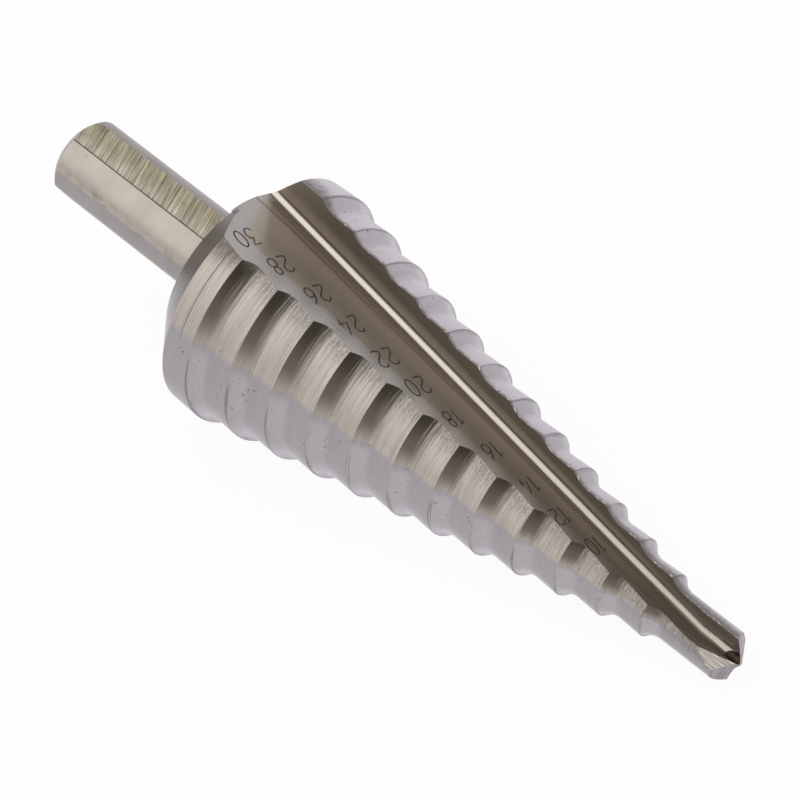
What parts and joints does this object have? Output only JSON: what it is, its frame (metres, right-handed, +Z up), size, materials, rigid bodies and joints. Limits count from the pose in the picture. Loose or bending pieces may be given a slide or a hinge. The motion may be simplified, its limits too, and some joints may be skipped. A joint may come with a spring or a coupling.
{
  "type": "step drill bit",
  "caption": "Stepped cone drill bit with straight flutes, a short split point and a round shank with flats, lying on its side.",
  "frame": {"origin": "on the table under the middle of the drill's bounding box, where it lies", "axes": "+X towards the point in plan, +Z up from the table; the drill's own axis lies in the XZ plane and dips 9 degrees towards the point"},
  "size_m": [0.099, 0.0296, 0.0275],
  "materials": {
    "tool_steel": "ground"
  },
  "bodies": {
    "root": {"step_drill": "tool_steel"}
  },
  "joints": []
}
